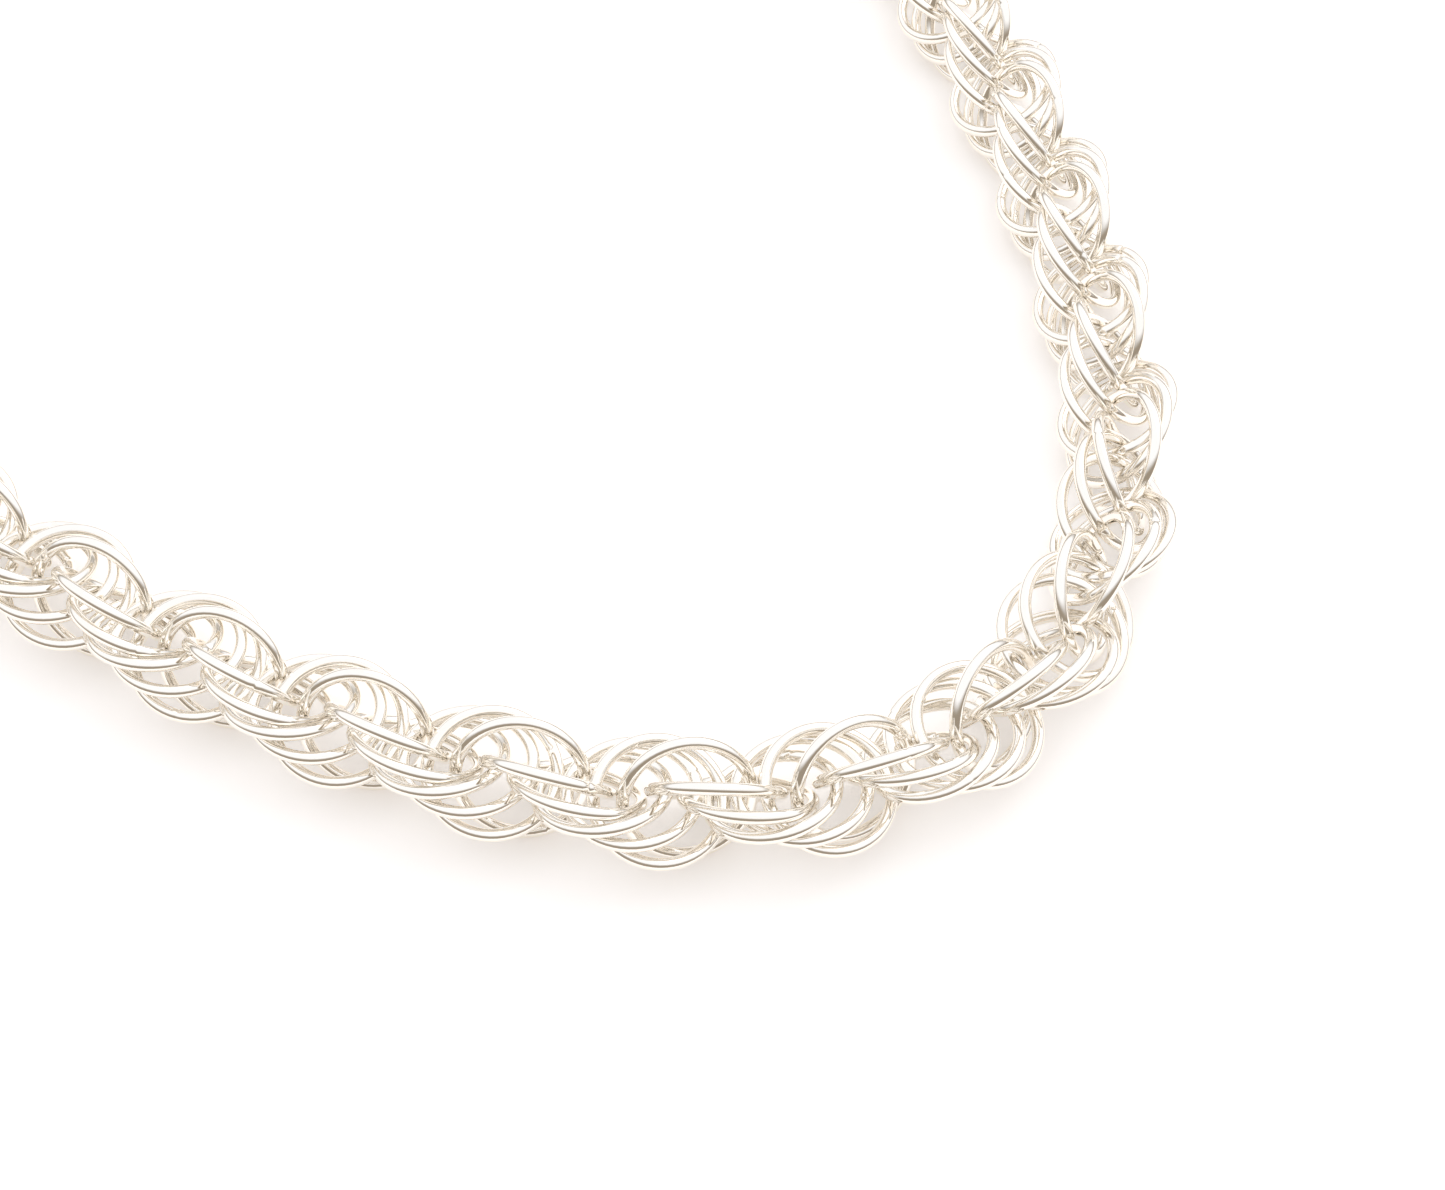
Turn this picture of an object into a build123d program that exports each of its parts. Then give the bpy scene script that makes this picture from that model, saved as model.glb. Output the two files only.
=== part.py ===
from build123d import *
import os

import numpy as np

# Rope chain necklace of round wire links, laid down in a loose loop.
# Units are millimetres and degrees, +Z is up and the chain lies on the plane z = 0.

# Links of the rope
link_wire = 1.0             # wire of a link
air = 0.11                  # clear air that two wires that pass each other are given
least_air = 0.104           # clear air that is enough for them to be left as they lie
links_each_way = 4          # links before a link that pass through it, and as many after it
nesting = 0.945             # share of their flat width that the passing wires need, because they nest
closeness = 0.985           # share of the pulled-out pitch that is left when the rope lies slack

# Screw of the rope
links_per_half_turn = 6     # one lone link and a stack of the others
unevenness = 0.03           # how far a link strays from its seat

# How the links of a half turn sit, the lone link first. Each row holds the link's lean in degrees to the
# right of the rope's run, how far its forward end is raised and is turned right, and how far its centre
# lies forward, up and right of its place on the middle line, as shares of its radius.
seats_before_bend = [
    (-26.7, -0.078, -0.155, 0.017, -0.018, 0.0),
    (29.5, -0.032, 0.056, -0.014, 0.044, -0.045),
    (47.0, -0.044, 0.041, 0.017, -0.010, 0.026),
    (64.8, 0.133, -0.063, -0.018, -0.013, 0.003),
    (81.2, 0.015, -0.002, 0.004, 0.015, -0.015),
    (98.3, -0.135, -0.020, -0.007, -0.018, 0.032),
]
seats_after_bend = [
    (-28.5, -0.070, -0.128, -0.002, -0.010, 0.0),
    (28.5, 0.070, -0.128, 0.002, -0.010, 0.0),
    (45.3, -0.015, 0.015, -0.005, 0.034, -0.006),
    (60.8, -0.109, 0.061, 0.022, -0.024, 0.012),
    (119.2, 0.109, 0.061, -0.022, -0.024, -0.012),
    (134.7, 0.015, 0.015, 0.005, 0.034, 0.006),
]
bend_at_shares = (0.58, 0.64)  # shares of the rope's length between which the seats change over

# Plain ring at each end of the rope
end_ring_wire = 1.2
end_ring_radius = 4.0       # to the middle of the wire

# Plain hook, bent like an S, that joins the end rings
hook_wire = 1.6
hook_curl_radius = 2.0      # to the middle of the wire
hook_curl_turn = 250.0      # how far each curl is bent round
hook_span = 13.0            # between the centres of the two curls

# Middle line of the whole loop on the ground, from the hook round the front and back to it
route_points = [
    (-53, 133), (-75, 126), (-92, 110.5), (-101, 88.5), (-100, 62.7), (-89, 37.9), (-71.2, 17.5),
    (-53.5, 3.8), (-33.5, -8.2), (-13.5, -15.9), (3, -17.2), (16.3, -12.6), (25.6, -3.2),
    (30.8, 10.3), (30.8, 25.6), (27.8, 42.7), (22.8, 58.9), (14.9, 77.6), (4.3, 95.5), (-10, 113), (-30, 127.5),
]
hook_on_route = -2.5        # where the hook's middle lies along the line

# Sizes that follow
link_radius = nesting * (2 * links_each_way + 1) * (link_wire + air) / 2
slack_pitch = closeness * 2 * link_radius / (links_each_way + 0.5)
end_ring_height = end_ring_radius + end_ring_wire / 2
link_to_end_ring = links_each_way * slack_pitch - link_radius + end_ring_radius

# The hook lies as low in the end rings as its curls let it
hook_to_ring = (hook_wire + end_ring_wire) / 2 + air
curl_in_ring = (end_ring_radius**2 + hook_curl_radius**2 - (end_ring_radius - hook_to_ring) ** 2) / (
    2 * hook_curl_radius
)
hook_height = end_ring_height - (end_ring_radius**2 - curl_in_ring**2) ** 0.5
end_ring_from_middle = hook_span / 2 + curl_in_ring

# How finely and how long the links are eased apart
settle_rounds = 700
settle_share = 0.4
sample_count = 72
neighbours = links_each_way + 2

UP = np.array([0, 0, 1.0])


def unit(rows):
    """The rows at length one."""
    return rows / np.linalg.norm(rows, axis=-1, keepdims=True)


def turned(rows, turns):
    """The rows turned by the rotation vectors in turns."""
    angle = np.linalg.norm(turns, axis=1, keepdims=True)
    axis = turns / np.maximum(angle, 1e-12)
    kept = np.sum(axis * rows, axis=1, keepdims=True)
    return rows * np.cos(angle) + np.cross(axis, rows) * np.sin(angle) + axis * kept * (1 - np.cos(angle))


class Rings:
    """Round wire rings in their order along the loop, each with a centre and two directions in its plane."""

    def __init__(self, centre, across, along, radius, wire, free):
        self.centre = np.array(centre, float)
        self.across = unit(np.array(across, float))
        self.along = unit(np.array(along, float))
        self.radius = np.array(radius, float)
        self.wire = np.array(wire, float)
        self.free = np.array(free, float)

    def axes(self):
        """The axis of each ring."""
        return np.cross(self.across, self.along)

    def points(self, rings, angles):
        """Points on the middle of the wire, one for each named ring and angle."""
        out = np.cos(angles)[:, None] * self.across[rings] + np.sin(angles)[:, None] * self.along[rings]
        return self.centre[rings] + self.radius[rings][:, None] * out

    def nearest(self, rings, points):
        """The nearest point on the middle of the wire of each named ring."""
        away = points - self.centre[rings]
        axes = self.axes()[rings]
        in_plane = away - np.sum(away * axes, axis=1, keepdims=True) * axes
        return self.centre[rings] + self.radius[rings][:, None] * unit(in_plane)

    def reach(self):
        """How far each ring's surface lies from its centre along X, Y and Z."""
        leaning = np.sqrt(np.maximum(0, 1 - self.axes() ** 2))
        return self.radius[:, None] * leaning + self.wire[:, None] / 2

    def close_spots(self, step, samples, axes):
        """Where wires of rings that are step places apart lack clear air.

        Returns the two rings of each spot, the nearest points on their wires and the air that is missing.
        """
        away = samples[:-step] - self.centre[step:, None]
        above = np.einsum("rsx,rx->rs", away, axes[step:])
        beside = np.sqrt(np.maximum(0, np.sum(away * away, axis=2) - above**2))
        apart = np.hypot(above, beside - self.radius[step:, None])
        before, after = np.roll(apart, 1, axis=1), np.roll(apart, -1, axis=1)
        wanted = (self.wire[:-step] + self.wire[step:]) / 2 + air
        first, sample = np.nonzero((apart < 1.05 * wanted[:, None]) & (apart <= before) & (apart <= after))
        low, middle, high = before[first, sample], apart[first, sample], after[first, sample]
        bend = np.maximum(low - 2 * middle + high, 1e-12)
        off_sample = np.clip((low - high) / bend / 2, -0.5, 0.5)
        here = self.points(first, (sample + off_sample) * 2 * np.pi / sample_count)
        there = self.nearest(first + step, here)
        missing = wanted[first] - np.linalg.norm(here - there, axis=1)
        close = missing > 0
        return first[close], first[close] + step, here[close], there[close], missing[close]

    def push(self, rings, spots, way):
        """What a push on the wire at the spots does: the turn of each ring and how far the spot gives."""
        ease = 2 / self.radius[rings] ** 2
        lever = np.cross(spots - self.centre[rings], way)
        give = self.free[rings] * (1 + ease * np.sum(lever * lever, axis=1))
        return ease[:, None] * lever, give

    def settle(self):
        """Eases the rings apart until their wires have clear air, and keeps them on the ground."""
        rings = np.arange(len(self.centre))
        angles = np.arange(sample_count) * 2 * np.pi / sample_count
        for _ in range(settle_rounds):
            every = np.repeat(rings, sample_count)
            samples = self.points(every, np.tile(angles, len(rings))).reshape(len(rings), -1, 3)
            axes = self.axes()
            shift = np.zeros_like(self.centre)
            turn = np.zeros_like(self.centre)
            most_missing = 0
            for step in range(1, neighbours + 1):
                first, second, here, there, missing = self.close_spots(step, samples, axes)
                most_missing = max(most_missing, np.max(missing, initial=0))
                way = unit(here - there)
                first_turn, first_give = self.push(first, here, way)
                second_turn, second_give = self.push(second, there, way)
                amount = (missing / np.maximum(first_give + second_give, 1e-9))[:, None]
                first_share = amount * self.free[first][:, None]
                second_share = amount * self.free[second][:, None]
                np.add.at(shift, first, first_share * way)
                np.add.at(turn, first, first_share * first_turn)
                np.add.at(shift, second, -second_share * way)
                np.add.at(turn, second, -second_share * second_turn)
            self.centre += settle_share * shift
            self.across = turned(self.across, settle_share * turn)
            self.along = turned(self.along, settle_share * turn)
            self.centre[:, 2] += np.maximum(0, self.reach()[:, 2] - self.centre[:, 2])
            if most_missing < air - least_air:
                break

    def solid(self, ring):
        """The torus of one ring."""
        seat = Plane(
            origin=tuple(self.centre[ring]), x_dir=tuple(self.along[ring]), z_dir=tuple(self.axes()[ring])
        )
        return seat * Torus(self.radius[ring], self.wire[ring] / 2)


def on_route(route, distance):
    """The place and the run of the loop's middle line at a distance along it from the hook."""
    distance = (distance + hook_on_route) % route.length
    place = route.position_at(distance, position_mode=PositionMode.LENGTH)
    run = route.tangent_at(distance, position_mode=PositionMode.LENGTH)
    return np.array([place.X, place.Y, 0]), np.array([run.X, run.Y, 0])


def seat_of(link, share):
    """The half turn that a link belongs to and its row of the seats, at a share of the rope's length."""
    half_turn, place = divmod(link + links_per_half_turn // 2, links_per_half_turn)
    after = np.interp(share, bend_at_shares, (0, 1))
    before_row, after_row = np.array(seats_before_bend[place]), np.array(seats_after_bend[place])
    return half_turn, (1 - after) * before_row + after * after_row


def over_neighbours(values, measure):
    """A measure, such as the mean, of the values of each link and of those that pass through it."""
    padded = np.pad(values, links_each_way, mode="edge")
    return measure(np.lib.stride_tricks.sliding_window_view(padded, 2 * links_each_way + 1), axis=1)


def lay_rings():
    """The rope's links, with an end ring before the first and after the last of them."""
    route = Spline(*[(x, y, 0) for x, y in route_points], periodic=True)
    first_link = end_ring_from_middle + link_to_end_ring
    rope_length = route.length - 2 * first_link
    half_turns = round(rope_length / (slack_pitch * links_per_half_turn))
    count = half_turns * links_per_half_turn + 1
    stray = np.random.default_rng(3).normal(0, unevenness, (count, 3))
    centre, across, along = [], [], []
    for link in range(count):
        share = link / (count - 1)
        half_turn, (lean, end_up, end_right, forward, up, right) = seat_of(link, share)
        place, run = on_route(route, first_link + share * rope_length + forward * link_radius)
        to_right = np.cross(run, UP)
        upright = np.cos(np.radians(lean)) * UP + np.sin(np.radians(lean)) * to_right
        ahead = run + end_up * UP + end_right * to_right
        centre.append(place + stray[link] + link_radius * (up * UP + right * to_right))
        across.append((-1) ** half_turn * upright)
        along.append(unit(ahead - np.dot(ahead, upright) * upright))
    centre, axes = np.array(centre), np.cross(across, along)
    lift = link_radius * np.sqrt(1 - axes[:, 2] ** 2) + link_wire / 2 - centre[:, 2]
    centre[:, 2] += over_neighbours(over_neighbours(lift, np.max), np.mean)
    left = on_route(route, end_ring_from_middle)[0] + end_ring_height * UP
    right = on_route(route, route.length - end_ring_from_middle)[0] + end_ring_height * UP
    return Rings(
        centre=[left, *centre, right],
        across=[UP, *across, UP],
        along=[left - right, *along, left - right],
        radius=[end_ring_radius] + [link_radius] * count + [end_ring_radius],
        wire=[end_ring_wire] + [link_wire] * count + [end_ring_wire],
        free=[0] + [1] * count + [0],
    )


def make_hook(left, right):
    """A flat S of round wire with round tips, whose curls go round the near sides of the two end rings."""
    to_left = Vector(*(left - right))
    half_span = to_left.length / 2 - curl_in_ring
    slant = np.degrees(np.arcsin(hook_curl_radius / half_span))
    shank_end = Vector((half_span**2 - hook_curl_radius**2) ** 0.5, 0).rotate(Axis.Z, -slant)
    curl = JernArc(shank_end, shank_end, hook_curl_radius, hook_curl_turn)
    path = Wire([Rot(0, 0, 180) * curl, Line(-shank_end, shank_end), curl])
    section = Plane(origin=path @ 0, z_dir=path % 0) * Circle(hook_wire / 2)
    tips = [Pos(path @ end) * Sphere(hook_wire / 2) for end in (0, 1)]
    middle = (left + right) / 2
    lie = Plane(origin=(middle[0], middle[1], hook_height), x_dir=to_left, z_dir=(0, 0, 1))
    return lie * (sweep(section, path=path) + tips)


def main():
    """Lays the necklace, centres its box on the origin and writes each piece."""
    rings = lay_rings()
    rings.settle()
    low = np.min(rings.centre - rings.reach(), axis=0)
    high = np.max(rings.centre + rings.reach(), axis=0)
    box_base = np.array([(low[0] + high[0]) / 2, (low[1] + high[1]) / 2, low[2]])
    rings.centre -= box_base
    last = len(rings.centre) - 1
    pieces = {
        "rope_chain": Compound([rings.solid(link) for link in range(1, last)]),
        "end_ring_left": rings.solid(0),
        "end_ring_right": rings.solid(last),
        "clasp_hook": make_hook(rings.centre[0], rings.centre[last]),
    }
    os.makedirs("parts", exist_ok=True)
    for name, piece in pieces.items():
        piece.label = name
        export_step(piece, f"parts/{name}.step")
    print("links", last - 1, "box", np.round(high - low, 2), "box base on the route's ground", np.round(box_base, 3))


main()
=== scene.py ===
"""Looks of a polished silver rope chain necklace that lies in a loose loop on a pale surface."""

from __future__ import annotations

import logging
import math
from dataclasses import dataclass, field
from enum import Enum

import bpy
import numpy as np
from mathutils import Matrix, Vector

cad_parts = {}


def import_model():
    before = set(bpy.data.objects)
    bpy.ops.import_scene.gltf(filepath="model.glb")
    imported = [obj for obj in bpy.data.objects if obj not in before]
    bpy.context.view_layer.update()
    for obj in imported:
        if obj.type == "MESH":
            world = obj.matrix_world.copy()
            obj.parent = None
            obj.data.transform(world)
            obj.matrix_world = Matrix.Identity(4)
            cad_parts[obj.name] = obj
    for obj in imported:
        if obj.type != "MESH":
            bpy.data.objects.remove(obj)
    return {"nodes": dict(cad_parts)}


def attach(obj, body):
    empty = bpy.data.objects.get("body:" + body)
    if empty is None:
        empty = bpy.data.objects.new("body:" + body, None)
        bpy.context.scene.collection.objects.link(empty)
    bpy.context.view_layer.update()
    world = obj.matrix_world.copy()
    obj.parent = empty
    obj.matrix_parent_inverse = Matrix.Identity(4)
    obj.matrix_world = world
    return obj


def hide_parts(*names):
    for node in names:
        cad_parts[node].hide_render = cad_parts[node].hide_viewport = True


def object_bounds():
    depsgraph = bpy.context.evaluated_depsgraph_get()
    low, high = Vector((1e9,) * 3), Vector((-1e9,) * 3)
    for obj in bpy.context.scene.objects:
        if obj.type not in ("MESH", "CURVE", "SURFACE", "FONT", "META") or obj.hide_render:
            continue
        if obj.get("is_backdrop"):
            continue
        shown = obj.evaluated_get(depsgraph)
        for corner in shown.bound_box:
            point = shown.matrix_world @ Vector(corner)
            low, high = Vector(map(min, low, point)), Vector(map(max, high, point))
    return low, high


log = logging.getLogger("rope_chain")

MM = 0.001
PHOTO_WIDTH_PX = 1445
NODE_SPACING = 180
SAME_POINT_DECIMALS = 8

Colour = tuple[float, float, float]
Place = tuple[float, float, float]


@dataclass(frozen=True)
class Wear:
    """What handling does to a silver surface.

    Attributes:
        marks_per_metre: how fine the polishing marks are.
        hairline_share: share of hairlines among the marks.
        tarnish_from: height of the patches' noise from which tarnish shows.
    """

    marks_per_metre: float
    hairline_share: float
    tarnish_from: float


class Polish(Enum):
    """How far a silver surface has been worn since it was polished."""

    BRIGHT = Wear(marks_per_metre=900.0, hairline_share=0.35, tarnish_from=0.55)
    HANDLED = Wear(marks_per_metre=1400.0, hairline_share=0.6, tarnish_from=0.45)


class Tree:
    """A node tree that is written in order, from its sources to its output."""

    def __init__(self, tree: bpy.types.NodeTree) -> None:
        """Takes over an empty node tree.

        Args:
            tree: the tree of a material, of a world or of a node group.
        """
        self.tree = tree
        self.column = 0

    def add(self, kind: str, **settings: object) -> bpy.types.Node:
        """Adds a node.

        Args:
            kind: Blender's name of the node type.
            **settings: properties to set on the node.

        Returns:
            The new node.
        """
        node = self.tree.nodes.new(kind)
        node.location = (self.column * NODE_SPACING, 0)
        self.column += 1
        for name, value in settings.items():
            setattr(node, name, value)
        return node

    def join(self, source: bpy.types.NodeSocket, target: bpy.types.NodeSocket) -> None:
        """Links an output socket to an input socket."""
        self.tree.links.new(source, target)

    def noise(
        self, fineness: bpy.types.NodeSocket, detail: float, bend: float = 0.0
    ) -> bpy.types.NodeSocket:
        """Adds noise that stays with the object.

        Args:
            fineness: the socket that gives how fine it is.
            detail: its levels of detail.
            bend: how far it is distorted.

        Returns:
            The noise's output socket.
        """
        place = self.add("ShaderNodeTexCoord")
        noise = self.add("ShaderNodeTexNoise")
        noise.inputs["Detail"].default_value = detail
        noise.inputs["Distortion"].default_value = bend
        self.join(place.outputs["Object"], noise.inputs["Vector"])
        self.join(fineness, noise.inputs["Scale"])
        return noise.outputs["Fac"]

    def map_range(
        self, value: bpy.types.NodeSocket, smooth: bool = False, **ends: float
    ) -> bpy.types.Node:
        """Adds a node that maps one range of values to another, from 0 to 1 unless given.

        Args:
            value: the socket with the value to map.
            smooth: whether the ends are eased.
            **ends: the ends to set, out of from_min, from_max, to_min and to_max.

        Returns:
            The new node.
        """
        kind = "SMOOTHSTEP" if smooth else "LINEAR"
        node = self.add("ShaderNodeMapRange", interpolation_type=kind)
        for end, at in ends.items():
            node.inputs[end.replace("_", " ").title()].default_value = at
        self.join(value, node.inputs["Value"])
        return node


def new_group(
    name: str, inputs: dict[str, float], outputs: dict[str, str]
) -> tuple[bpy.types.NodeTree, Tree]:
    """Starts a shader node group with named sockets.

    Args:
        name: the group's name.
        inputs: each input's name and default value.
        outputs: each output's name and socket type.

    Returns:
        The group and a writer for its tree.
    """
    group = bpy.data.node_groups.new(name, "ShaderNodeTree")
    for socket, default in inputs.items():
        made = group.interface.new_socket(
            name=socket, in_out="INPUT", socket_type="NodeSocketFloat"
        )
        made.default_value = default
    for socket, kind in outputs.items():
        group.interface.new_socket(name=socket, in_out="OUTPUT", socket_type=kind)
    return group, Tree(group)


def link(name: str, data: bpy.types.ID) -> bpy.types.Object:
    """Makes an object of some data and links it to the scene.

    Args:
        name: the object's name.
        data: its mesh, light or camera.

    Returns:
        The new object.
    """
    made = bpy.data.objects.new(name, data)
    bpy.context.scene.collection.objects.link(made)
    return made


@dataclass(frozen=True)
class PolishMarks:
    """Fine swirls and hairlines that a polishing wheel and wear leave on silver.

    Attributes:
        swirl_detail: the swirls' levels of detail.
        swirl_bend: how far the swirls are distorted.
        hairline_detail: the hairlines' levels of detail.
        hairline_bend: how far the hairlines are distorted.
        hairline_fineness: how many times finer the hairlines are than the swirls.
        rub_from: height of the swirls' noise from which the surface is rubbed.
        rub_full: height at which it is rubbed most.
    """

    swirl_detail: float = 3.0
    swirl_bend: float = 1.2
    hairline_detail: float = 2.0
    hairline_bend: float = 3.0
    hairline_fineness: float = 3.7
    rub_from: float = 0.4
    rub_full: float = 0.7

    def group(self) -> bpy.types.NodeTree:
        """Writes the node group.

        Returns:
            A group with the inputs Marks per metre and Hairline share, and the outputs
            Height and Rub.
        """
        group, tree = new_group(
            "PolishMarks",
            {"Marks per metre": 900.0, "Hairline share": 0.5},
            {"Height": "NodeSocketFloat", "Rub": "NodeSocketFloat"},
        )
        given = tree.add("NodeGroupInput")
        marks = given.outputs["Marks per metre"]
        finer = tree.add("ShaderNodeMath", operation="MULTIPLY")
        finer.inputs[1].default_value = self.hairline_fineness
        tree.join(marks, finer.inputs[0])
        swirl = tree.noise(marks, self.swirl_detail, self.swirl_bend)
        hairline = tree.noise(finer.outputs[0], self.hairline_detail, self.hairline_bend)
        blend = tree.add("ShaderNodeMix", data_type="FLOAT")
        tree.join(given.outputs["Hairline share"], blend.inputs["Factor"])
        tree.join(swirl, blend.inputs["A"])
        tree.join(hairline, blend.inputs["B"])
        rub = tree.map_range(swirl, from_min=self.rub_from, from_max=self.rub_full)
        out = tree.add("NodeGroupOutput")
        tree.join(blend.outputs["Result"], out.inputs["Height"])
        tree.join(rub.outputs["Result"], out.inputs["Rub"])
        return group


@dataclass(frozen=True)
class Tarnish:
    """Patches where silver has started to yellow.

    Attributes:
        patch_detail: the patches' levels of detail.
        full: height of the patches' noise at which the silver is yellowest.
    """

    patch_detail: float = 4.0
    full: float = 0.85

    def group(self) -> bpy.types.NodeTree:
        """Writes the node group.

        Returns:
            A group with the inputs Patches per metre and Spread, and the output Tarnish.
        """
        group, tree = new_group(
            "Tarnish",
            {"Patches per metre": 120.0, "Spread": 0.5},
            {"Tarnish": "NodeSocketFloat"},
        )
        given = tree.add("NodeGroupInput")
        patch = tree.noise(given.outputs["Patches per metre"], self.patch_detail)
        spread = tree.map_range(patch, from_max=self.full)
        tree.join(given.outputs["Spread"], spread.inputs["From Min"])
        out = tree.add("NodeGroupOutput")
        tree.join(spread.outputs["Result"], out.inputs["Tarnish"])
        return group


@dataclass(frozen=True)
class SilverFinish:
    """One finish of polished silver.

    Attributes:
        name: the material's name.
        polish: how far the surface is worn.
        clean: colour where it is clean.
        yellowed: colour where it has started to tarnish.
        smooth: roughness of the best polished places.
        rubbed: roughness of the most rubbed places.
        mark_height: height of the polishing marks.
        mark_strength: how much of that height the light shows.
    """

    name: str
    polish: Polish
    clean: Colour = (0.94, 0.896, 0.825)
    yellowed: Colour = (0.92, 0.85, 0.74)
    smooth: float = 0.05
    rubbed: float = 0.11
    mark_height: float = 0.0012 * MM
    mark_strength: float = 0.35

    def material(
        self, marks: bpy.types.NodeTree, tarnish: bpy.types.NodeTree
    ) -> bpy.types.Material:
        """Writes the material.

        Args:
            marks: the polish marks group.
            tarnish: the tarnish group.

        Returns:
            The new material.
        """
        material = bpy.data.materials.new(self.name)
        material.use_nodes = True
        material.node_tree.nodes.clear()
        tree = Tree(material.node_tree)
        wear = self.polish.value
        rub = tree.add("ShaderNodeGroup", node_tree=marks)
        rub.inputs["Marks per metre"].default_value = wear.marks_per_metre
        rub.inputs["Hairline share"].default_value = wear.hairline_share
        old = tree.add("ShaderNodeGroup", node_tree=tarnish)
        old.inputs["Spread"].default_value = wear.tarnish_from
        tone = tree.add("ShaderNodeMix", data_type="RGBA")
        tone.inputs["A"].default_value = (*self.clean, 1.0)
        tone.inputs["B"].default_value = (*self.yellowed, 1.0)
        tree.join(old.outputs["Tarnish"], tone.inputs["Factor"])
        gloss = tree.map_range(rub.outputs["Rub"], to_min=self.smooth, to_max=self.rubbed)
        bump = tree.add("ShaderNodeBump")
        bump.inputs["Strength"].default_value = self.mark_strength
        bump.inputs["Distance"].default_value = self.mark_height
        tree.join(rub.outputs["Height"], bump.inputs["Height"])
        shader = tree.add("ShaderNodeBsdfPrincipled")
        shader.inputs["Metallic"].default_value = 1.0
        tree.join(tone.outputs["Result"], shader.inputs["Base Color"])
        tree.join(gloss.outputs["Result"], shader.inputs["Roughness"])
        tree.join(bump.outputs["Normal"], shader.inputs["Normal"])
        out = tree.add("ShaderNodeOutputMaterial")
        tree.join(shader.outputs["BSDF"], out.inputs["Surface"])
        return material


@dataclass(frozen=True)
class Ring:
    """One closed ring of round wire, read from the frame.

    Attributes:
        centre: its centre.
        across: a direction in its plane.
        along: the direction in its plane at a right angle to across.
        radius: from the centre to the middle of the wire.
        wire: the wire's radius.
    """

    centre: np.ndarray
    across: np.ndarray
    along: np.ndarray
    radius: float
    wire: float


def ring_through(points: np.ndarray) -> Ring:
    """Finds the ring that a cloud of points on its surface belongs to.

    Args:
        points: the points, one row for each.

    Returns:
        The ring.
    """
    centre = points.mean(axis=0)
    _, _, axes = np.linalg.svd(points - centre, full_matrices=False)
    normal = axes[2]
    centre += ((points - centre) @ normal).mean() * normal
    from_centre = points - centre
    above = from_centre @ normal
    out = np.linalg.norm(from_centre - above[:, None] * normal, axis=1)
    radius = (out.max() + out.min()) / 2
    wire = (out.max() - out.min()) / 2
    return Ring(centre, axes[0], np.cross(normal, axes[0]), radius, wire)


def rings_of(node: bpy.types.Object) -> list[Ring]:
    """Reads the rings that a node of the frame is made of.

    Args:
        node: a node whose mesh is a run of separate rings.

    Returns:
        The rings in their order in the mesh.
    """
    mesh = node.data
    place = np.empty(len(mesh.vertices) * 3, np.float32)
    mesh.vertices.foreach_get("co", place)
    place = place.reshape(-1, 3).astype(float)
    corner = np.empty(len(mesh.loops), np.int32)
    mesh.loops.foreach_get("vertex_index", corner)
    corner = corner.reshape(len(mesh.polygons), -1)
    low, high = corner.min(axis=1), corner.max(axis=1)
    order = np.argsort(low, kind="stable")
    low, reach = low[order], np.maximum.accumulate(high[order])
    cuts = np.nonzero(low[1:] > reach[:-1])[0] + 1
    starts = [0, *low[cuts]]
    ends = [*(reach[cuts - 1] + 1), reach[-1] + 1]
    return [
        ring_through(np.unique(np.round(place[start:end], SAME_POINT_DECIMALS), axis=0))
        for start, end in zip(starts, ends)
    ]


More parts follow.
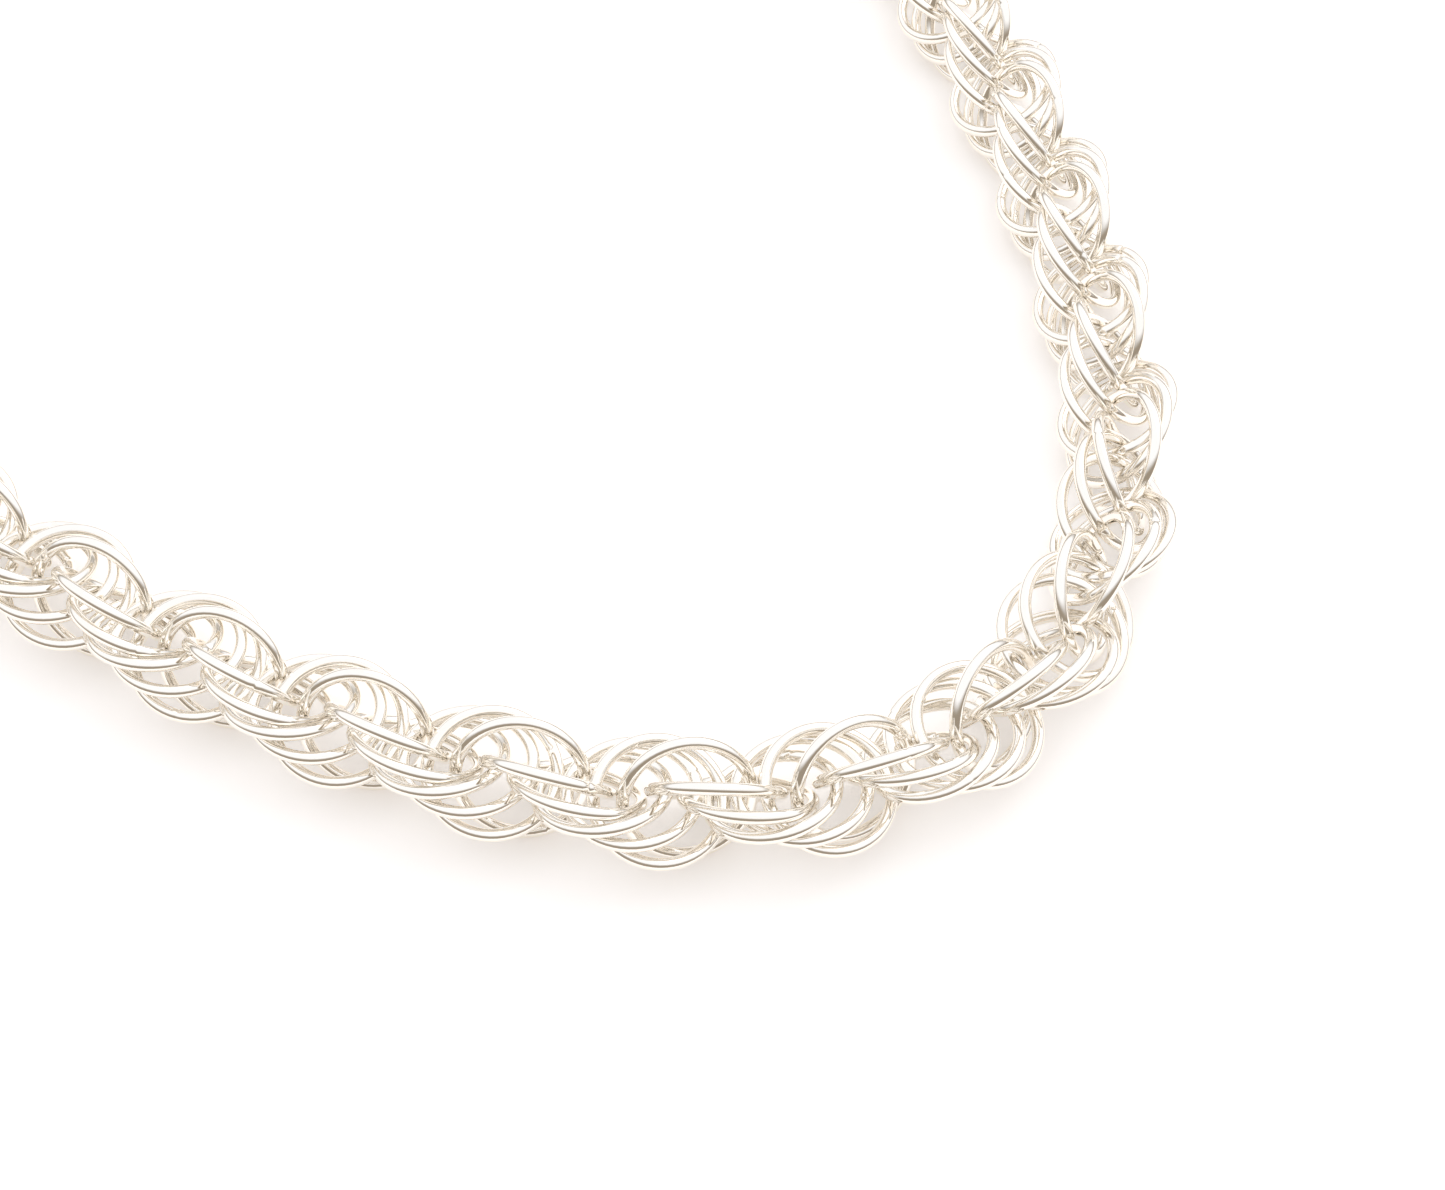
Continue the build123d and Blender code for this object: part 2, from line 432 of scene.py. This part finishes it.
@dataclass
class RingMaker:
    """Builds closed rings of drawn wire with a soldered seam, as joined meshes.

    Attributes:
        steps_round_ring: faces along a ring's wire.
        steps_round_wire: faces round the wire.
        seam_width: length of wire that the seam takes.
        seam_depth: how far the seam is filed in, as a share of the wire's radius.
        out_of_round: how far a ring's radius strays, as a share of it.
        warp: how far a ring's wire leaves its plane.
        seed: of the draws that make the rings differ.
    """

    steps_round_ring: int = 60
    steps_round_wire: int = 14
    seam_width: float = 0.16 * MM
    seam_depth: float = 0.07
    out_of_round: float = 0.001
    warp: float = 0.006 * MM
    seed: int = 11
    draws: np.random.Generator = field(init=False, repr=False)

    def __post_init__(self) -> None:
        """Seeds the draws."""
        self.draws = np.random.default_rng(self.seed)

    def stations(self, ring: Ring) -> tuple[np.ndarray, np.ndarray]:
        """Where the wire's sections stand round a ring, and how thick the wire is there.

        Args:
            ring: the ring.

        Returns:
            The angles from the seam, and the wire's radius at each as a share.
        """
        half_seam = self.seam_width / 2 / ring.radius
        even = np.linspace(0, 2 * np.pi, self.steps_round_ring, endpoint=False)[1:]
        angles = np.concatenate(([0.0, half_seam], even, [2 * np.pi - half_seam]))
        thickness = np.ones_like(angles)
        thickness[0] = 1 - self.seam_depth
        return angles, thickness

    def points(self, ring: Ring) -> np.ndarray:
        """The points of one ring, section after section.

        Args:
            ring: the ring.

        Returns:
            An array of points, one row for each.
        """
        angles, thickness = self.stations(ring)
        seam_at, oval_at, warp_at = self.draws.uniform(0, 2 * np.pi, 3)
        turn = angles + seam_at
        radius = ring.radius * (1 - self.out_of_round * (1 + np.cos(2 * turn + oval_at)))
        normal = np.cross(ring.across, ring.along)
        outward = np.cos(turn)[:, None] * ring.across + np.sin(turn)[:, None] * ring.along
        lift = self.warp * np.cos(2 * turn + warp_at)
        middle = ring.centre + radius[:, None] * outward + lift[:, None] * normal
        round_wire = np.arange(self.steps_round_wire) * 2 * np.pi / self.steps_round_wire
        section = (ring.wire - self.warp) * thickness[:, None]
        side = section * np.cos(round_wire)
        rise = section * np.sin(round_wire)
        shape = middle[:, None] + side[..., None] * outward[:, None] + rise[..., None] * normal
        return shape.reshape(-1, 3)

    def faces(self, first_point: int, section_count: int) -> np.ndarray:
        """The faces of one ring.

        Args:
            first_point: the number of the ring's first point in the joined mesh.
            section_count: how many sections the ring has.

        Returns:
            An array of four-cornered faces.
        """
        wide = self.steps_round_wire
        section, spot = np.meshgrid(np.arange(section_count), np.arange(wide), indexing="ij")
        next_section = (section + 1) % section_count
        next_spot = (spot + 1) % wide
        corners = [
            section * wide + spot,
            next_section * wide + spot,
            next_section * wide + next_spot,
            section * wide + next_spot,
        ]
        return first_point + np.stack(corners, axis=-1).reshape(-1, 4)

    def joined(self, name: str, rings: list[Ring]) -> bpy.types.Object:
        """Makes one object of several rings.

        Args:
            name: the object's name.
            rings: the rings to join.

        Returns:
            The new object.
        """
        points, faces, count = [], [], 0
        for ring in rings:
            made = self.points(ring)
            points.append(made)
            faces.append(self.faces(count, len(made) // self.steps_round_wire))
            count += len(made)
        mesh = bpy.data.meshes.new(name)
        mesh.from_pydata(np.concatenate(points).tolist(), [], np.concatenate(faces).tolist())
        mesh.polygons.foreach_set("use_smooth", [True] * len(mesh.polygons))
        mesh.update()
        return link(name, mesh)


@dataclass
class RopeChain:
    """The rope of interlocked links, built as two runs that meet at the front of the loop.

    Attributes:
        node: the frame's node that it stands for.
        slot: name of a material slot; not used.
        maker: builds its links.
        runs: the two runs, once they are built.
    """

    node: str = "rope_chain"
    slot: str = "rope_silver"
    maker: RingMaker = field(default_factory=RingMaker)
    runs: list[bpy.types.Object] = field(default_factory=list)

    def build(self, frame_node: bpy.types.Object) -> None:
        """Builds the two runs of links over the frame's rope.

        Args:
            frame_node: the frame's rope.
        """
        links = rings_of(frame_node)
        middle = len(links) // 2
        self.runs.append(self.maker.joined("rope_left_run", links[:middle]))
        self.runs.append(self.maker.joined("rope_right_run", links[middle:]))
        log.info("rope: %d links of %.2f mm wire", len(links), 2 * links[0].wire / MM)

    def dress(self, material: bpy.types.Material) -> None:
        """Gives the runs their finish and puts them in the frame's place.

        Args:
            material: the finish.
        """
        for run in self.runs:
            run.data.materials.append(material)
            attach(run, "root")
            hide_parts(self.node)


def clasp_ring_maker() -> RingMaker:
    """A maker of finer rings for the clasp."""
    return RingMaker(steps_round_ring=72, steps_round_wire=20, seed=5)


@dataclass
class Clasp:
    """The plain end rings and the plain hook that close the loop.

    Attributes:
        ring_nodes: the frame's nodes of the end rings.
        hook_node: the frame's node of the hook, which stays.
        slot: name of a material slot; not used.
        maker: builds the end rings.
        rings: the end rings by their nodes, once they are built.
    """

    ring_nodes: tuple[str, str] = ("end_ring_left", "end_ring_right")
    hook_node: str = "clasp_hook"
    slot: str = "clasp_silver"
    maker: RingMaker = field(default_factory=clasp_ring_maker)
    rings: dict[str, bpy.types.Object] = field(default_factory=dict)

    def build(self, nodes: dict[str, bpy.types.Object]) -> None:
        """Builds the two end rings over the frame's.

        Args:
            nodes: the frame's nodes.
        """
        for node in self.ring_nodes:
            self.rings[node] = self.maker.joined(f"{node}_wire", rings_of(nodes[node]))
        log.info("clasp: %d end rings and a hook", len(self.rings))

    def dress(self, hook: bpy.types.Object, material: bpy.types.Material) -> None:
        """Gives the end rings and the frame's hook their finish.

        Args:
            hook: the frame's hook, which stays.
            material: the finish.
        """
        for node, ring in self.rings.items():
            ring.data.materials.append(material)
            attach(ring, "root")
            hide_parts(node)
        for material_slot in hook.material_slots:
            material_slot.material = material


@dataclass(frozen=True)
class PaleFloor:
    """The plain pale surface that the necklace lies on.

    Attributes:
        size: side of the square.
        colour: its colour.
        roughness: its roughness.
        shine: how much it reflects besides its colour.
        glow_colour: colour of the faint light that it gives off.
        glow: strength of that light.
    """

    size: float = 6.0
    colour: Colour = (0.94, 0.91, 0.88)
    roughness: float = 0.9
    shine: float = 0.1
    glow_colour: Colour = (1.0, 0.975, 0.955)
    glow: float = 0.26

    def lay(self) -> None:
        """Lays the floor at the height of the frame's base."""
        half = self.size / 2
        corners = [(-half, -half, 0), (half, -half, 0), (half, half, 0), (-half, half, 0)]
        mesh = bpy.data.meshes.new("floor")
        mesh.from_pydata(corners, [], [(0, 1, 2, 3)])
        floor = link("floor", mesh)
        material = bpy.data.materials.new("pale_floor")
        material.use_nodes = True
        shader = material.node_tree.nodes["Principled BSDF"]
        shader.inputs["Base Color"].default_value = (*self.colour, 1.0)
        shader.inputs["Roughness"].default_value = self.roughness
        shader.inputs["Specular IOR Level"].default_value = self.shine
        shader.inputs["Emission Color"].default_value = (*self.glow_colour, 1.0)
        shader.inputs["Emission Strength"].default_value = self.glow
        floor.data.materials.append(material)
        floor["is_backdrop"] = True


@dataclass(frozen=True)
class Room:
    """The light of the room, which is brightest high at the back and dim near the ground.

    Attributes:
        bright_side: direction in which the room is brightest.
        dim_until: share of that direction up to which the room is dim.
        bright_from: share of that direction from which the room is bright.
        horizon_height: share of the height up to which the room is dimmer all round.
        dim_light: the room's light where it is dim.
        bright_light: the room's light where it is bright.
    """

    bright_side: Place = (0.05, 0.6, 0.8)
    dim_until: float = -0.1
    bright_from: float = 0.35
    horizon_height: float = 0.3
    dim_light: Colour = (0.36, 0.31, 0.25)
    bright_light: Colour = (1.10, 1.12, 1.18)

    def light_up(self) -> None:
        """Sets the room's light as the scene's world."""
        world = bpy.data.worlds.new("room")
        world.use_nodes = True
        world.node_tree.nodes.clear()
        tree = Tree(world.node_tree)
        place = tree.add("ShaderNodeTexCoord")
        toward = tree.add("ShaderNodeVectorMath", operation="DOT_PRODUCT")
        toward.inputs[1].default_value = self.bright_side
        tree.join(place.outputs["Generated"], toward.inputs[0])
        glow = tree.map_range(
            toward.outputs["Value"], smooth=True, from_min=self.dim_until, from_max=self.bright_from
        )
        height = tree.add("ShaderNodeSeparateXYZ")
        tree.join(place.outputs["Generated"], height.inputs["Vector"])
        above = tree.map_range(height.outputs["Z"], smooth=True, from_max=self.horizon_height)
        both = tree.add("ShaderNodeMath", operation="MULTIPLY")
        tree.join(glow.outputs["Result"], both.inputs[0])
        tree.join(above.outputs["Result"], both.inputs[1])
        colour = tree.add("ShaderNodeMix", data_type="RGBA")
        colour.inputs["A"].default_value = (*self.dim_light, 1.0)
        colour.inputs["B"].default_value = (*self.bright_light, 1.0)
        tree.join(both.outputs["Value"], colour.inputs["Factor"])
        shade = tree.add("ShaderNodeBackground")
        tree.join(colour.outputs["Result"], shade.inputs["Color"])
        out = tree.add("ShaderNodeOutputWorld")
        tree.join(shade.outputs["Background"], out.inputs["Surface"])
        bpy.context.scene.world = world


@dataclass(frozen=True)
class SoftLight:
    """A square soft light that faces the necklace.

    Attributes:
        name: its name.
        place: where it hangs, in metres.
        size: its side.
        watts: its power.
        colour: its colour.
    """

    name: str = "overhead"
    place: Place = (0.5, 0.6, 0.9)
    size: float = 1.2
    watts: float = 2.5
    colour: Colour = (1.0, 0.99, 0.98)

    def hang(self) -> None:
        """Hangs the light."""
        data = bpy.data.lights.new(self.name, "AREA")
        data.shape = "SQUARE"
        data.size = self.size
        data.energy = self.watts
        data.color = self.colour
        light = link(self.name, data)
        light.location = self.place
        light.rotation_euler = (-Vector(self.place)).to_track_quat("-Z", "Y").to_euler()


@dataclass(frozen=True)
class PhotoCamera:
    """The camera at the photograph's angle.

    Attributes:
        view_from_right: from the right side of the necklace's box to the point it looks at.
        view_from_front: from the front of the box to that point.
        view_height: height of that point.
        elevation_deg: how far the camera looks down.
        distance: from the camera to that point.
        focal_px: focal length in pixels of the photograph.
        sensor_width_mm: width of the sensor.
        near_limit: how near to the camera things show.
    """

    view_from_right: float = 36.01 * MM
    view_from_front: float = 22.70 * MM
    view_height: float = 5.0 * MM
    elevation_deg: float = 56.0
    distance: float = 188.4 * MM
    focal_px: float = 2496.0
    sensor_width_mm: float = 36.0
    near_limit: float = 10 * MM

    def place(self, low: Vector, high: Vector) -> None:
        """Sets the camera and the way its picture shows brightness.

        Args:
            low: the lowest corner of the necklace's box.
            high: its highest corner.
        """
        aim_x = high.x - self.view_from_right
        aim_y = low.y + self.view_from_front
        aim = Vector((aim_x, aim_y, self.view_height))
        down = math.radians(self.elevation_deg)
        data = bpy.data.cameras.new("camera")
        data.sensor_fit = "HORIZONTAL"
        data.sensor_width = self.sensor_width_mm
        data.lens = self.focal_px / PHOTO_WIDTH_PX * self.sensor_width_mm
        data.clip_start = self.near_limit
        camera = link("camera", data)
        camera.location = aim + self.distance * Vector((0, -math.cos(down), math.sin(down)))
        camera.rotation_euler = (math.pi / 2 - down, 0, 0)
        bpy.context.scene.camera = camera
        bpy.context.scene.view_settings.view_transform = "Standard"
        log.info("camera: %.0f mm away", self.distance / MM)


def main() -> None:
    """Builds and dresses the necklace, then sets the studio up."""
    logging.basicConfig(level=logging.INFO, format="%(name)s %(message)s")
    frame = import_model()
    frame_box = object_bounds()
    marks, tarnish = PolishMarks().group(), Tarnish().group()
    rope_silver = SilverFinish("polished_rope_silver", Polish.BRIGHT)
    clasp_silver = SilverFinish(
        "polished_clasp_silver", Polish.HANDLED, smooth=0.08, rubbed=0.18
    )
    rope = RopeChain()
    rope.build(frame["nodes"][rope.node])
    rope.dress(rope_silver.material(marks, tarnish))
    clasp = Clasp()
    clasp.build(frame["nodes"])
    clasp.dress(frame["nodes"][clasp.hook_node], clasp_silver.material(marks, tarnish))
    PaleFloor().lay()
    Room().light_up()
    SoftLight().hang()
    PhotoCamera().place(*frame_box)


if __name__ == "__main__":
    main()
